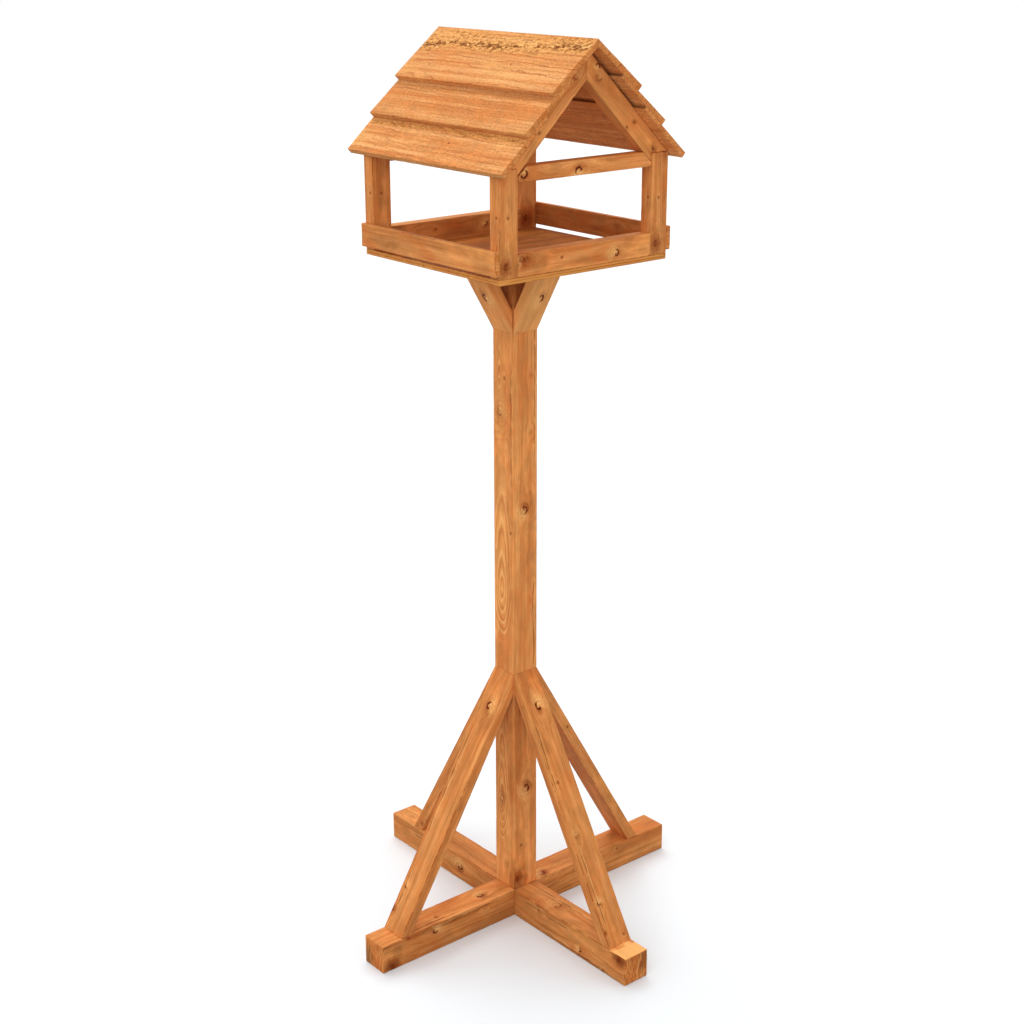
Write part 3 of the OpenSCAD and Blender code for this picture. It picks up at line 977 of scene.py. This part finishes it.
# the roof frame
batten("right_tie", 64, 0.9, (-18, 0, 16), 3.8, tone=1.08, knots=[
    ("crescent", "right", -141, -1, 8, -70), ("crescent", "right", -15, -4, 8, 90),
    ("pin", "left", 60, 0, 2, 0),
])
batten("left_tie", 65, 0.9, (18, 0, 16), 3.8, knots=[
    ("swirl", "left", 120, 0, 7, 90), ("pin", "right", -70, 2, 2.2, 0),
])
RAFTER_KNOTS = {
    "front_right": [("swirl", "right", 85, 5, 7, 170), ("pin", "right", -32, -3, 2.4, -134)],
    "back_right": [("crescent", "right", -93, 14, 5, 90), ("swirl", "right", -82, 2, 8, -90),
                   ("pin", "right", 35, 3, 2.8, -44), ("pin", "right", 28, -15, 2.2, 40),
                   ("smudge", "right", 104, 0, 6, 0)],
    "front_left": [("swirl", "left", 80, 2, 6, 20), ("pin", "left", -20, 4, 2.4, 0)],
    "back_left": [("crescent", "left", -70, -4, 5, 45), ("pin", "left", 40, 5, 2.4, 0)],
}
RAFTER_CRACKS = {"front_right": [("right", 8, 70, 125)]}
RAFTER_TONE = {"front_right": 1.15, "back_right": 1.19}
for i, name in enumerate(CORNERS):
    batten(name + "_rafter", 80 + i, 0.9, (-20, 6 * i - 9, 18), 3.8, tone=RAFTER_TONE.get(name, 1.22),
           knots=RAFTER_KNOTS[name], cracks=RAFTER_CRACKS.get(name, []))

# the roof boards, whose numbers are given for the front slope and turned round for the back one
ROOF_PINS = {
    "low": [("pin", "top", 37, -19, 1.6, 160)],
    "middle": [("pin", "top", -120, -30, 1.4, 20)],
    "top": [("pin", "top", 61, -11, 1.7, 0), ("pin", "top", -150, -30, 1.3, 60)],
}
TORN = {
    "low": ("top", 9, 0.01, 5, 16, 0.3, 0.4),
    "middle": ("top", 8, -0.01, 4, 12, 0.2, 0.12),
    "top": ("top", 32, 0.035, 6, 32, 1.8, 1.0),
}
# painted shade under the laps, as (mm across, brightness), and painted shade on the hidden head edges, as
# their brightness
LAP_PAINTED_SHADE = {"low": [(14, 0.84)], "middle": [(19, 0.84)], "top": []}
INNER_EDGE = {"low": 0.4, "middle": 0.4, "top": 1.0}
BOARD_TONE = {"low": 0.98, "middle": 0.93, "top": 0.955}
BOARD_CUTS = {"low": CUTS, "middle": CUTS, "top": FINE_CUTS}
# where the heart of the tree lies: mm through the board and mm up the slope
HEART = {"low": (-45, -80), "middle": (-35, 85), "top": (-60, -80)}
SLOPE_UP, SLOPE_OUT = 0.63, 0.78


def roof_board(node, seed, level, outward):
    deep, up = HEART[level]
    heart = (0, outward * (SLOPE_UP * deep - SLOPE_OUT * up), SLOPE_OUT * deep + SLOPE_UP * up)
    name, centre, slant, *tear = TORN[level]
    inner = "back" if outward < 0 else "front"
    whole = (0, 0, 2000, 2000)
    # the shades paint light and shade: a paler underside, and painted shade on the hidden head edge and under
    # the laps
    board(node, "roof_boards", roof, seed, 0.8 * MM, BOARD_CUTS[level], heart, 6.2, bend=8.0,
          knots=[(kind, side, along, -outward * across, radius, turn)
                 for kind, side, along, across, radius, turn in ROOF_PINS[level]],
          torn=(name, -outward * centre, -outward * slant, *tear), tone=BOARD_TONE[level],
          shades=[("under", *whole, 1.12), (inner, *whole, INNER_EDGE[level]),
                  *(("top", 0, -outward * lap, 2000, 14, gain) for lap, gain in LAP_PAINTED_SHADE[level])])


for i, (slope, outward) in enumerate((("front", -1), ("back", 1))):
    for j, level in enumerate(["low", "middle", "top"]):
        roof_board(f"{slope}_{level}_board", 100 + 3 * i + j, level, outward)

# -------- floor, light and background
FLOOR_REACH = 14.0
FLOOR_DROP = 0.0004
FLOOR_COLOUR = (0.785, 0.815, 0.838)
FLOOR_GLOW = 0.04
FLOOR_BOUNCE = (0.35, 0.35, 0.35)


def floor_material():
    """Pale where it is seen, and a darker grey for bounced light, so that undersides stay in shade."""
    n = Nodes(bpy.data.materials.new("floor"))
    bounce = n.make("ShaderNodeBsdfDiffuse", {"Color": FLOOR_BOUNCE}).outputs[0]
    pale = n.make("ShaderNodeBsdfDiffuse", {"Color": FLOOR_COLOUR}).outputs[0]
    glow = n.make("ShaderNodeEmission", {"Color": WHITE, "Strength": FLOOR_GLOW}).outputs[0]
    seen = n.make("ShaderNodeAddShader", {0: pale, 1: glow}).outputs[0]
    return n.show(n.make("ShaderNodeMixShader", {0: n.seen_directly(), 1: bounce, 2: seen}).outputs[0])


corners = [(x * FLOOR_REACH, y * FLOOR_REACH, 0) for x, y in ((-1, -1), (1, -1), (1, 1), (-1, 1))]
floor_mesh = bpy.data.meshes.new("floor")
floor_mesh.from_pydata(corners, [], [(0, 1, 2, 3)])
floor_mesh.materials.append(floor_material())
floor = new_object("floor", floor_mesh)
floor.location.z = -FLOOR_DROP

SKY_HORIZON = 2.0
SKY_ZENITH = 0.0
EVEN_SHARE = 0.5


def studio_world():
    """White where it is seen; as light, partly even white and partly a sky brightest at the horizon."""
    n = Nodes(bpy.data.worlds.new("world"))
    height = n.split(n.make("ShaderNodeTexCoord", {}).outputs["Generated"])["Z"]
    strength = n.make("ShaderNodeMapRange", {0: height, 1: 0.0, 2: 1.0, 3: SKY_HORIZON, 4: SKY_ZENITH})
    sky = n.make("ShaderNodeBackground", {"Color": WHITE, "Strength": strength.outputs[0]}).outputs[0]
    even = n.make("ShaderNodeBackground", {"Color": WHITE, "Strength": 1.0}).outputs[0]
    share = n.calc("MAXIMUM", n.seen_directly(), EVEN_SHARE)
    mixed = n.make("ShaderNodeMixShader", {0: share, 1: sky, 2: even}).outputs[0]
    return n.show(mixed, "ShaderNodeOutputWorld")


def soft_sun(name, towards, energy, degrees):
    data = bpy.data.lights.new(name, "SUN")
    data.energy = energy
    data.angle = math.radians(degrees)
    sun = new_object(name, data)
    sun.rotation_euler = Vector(towards).to_track_quat("-Z", "Y").to_euler()


scene.world = studio_world()
soft_sun("front_light", towards=(-0.25, 0.60, -0.60), energy=0.62, degrees=50)
soft_sun("overhead_light", towards=(0.42, -0.16, -1.0), energy=1.25, degrees=42)

scene.view_settings.view_transform = "Standard"
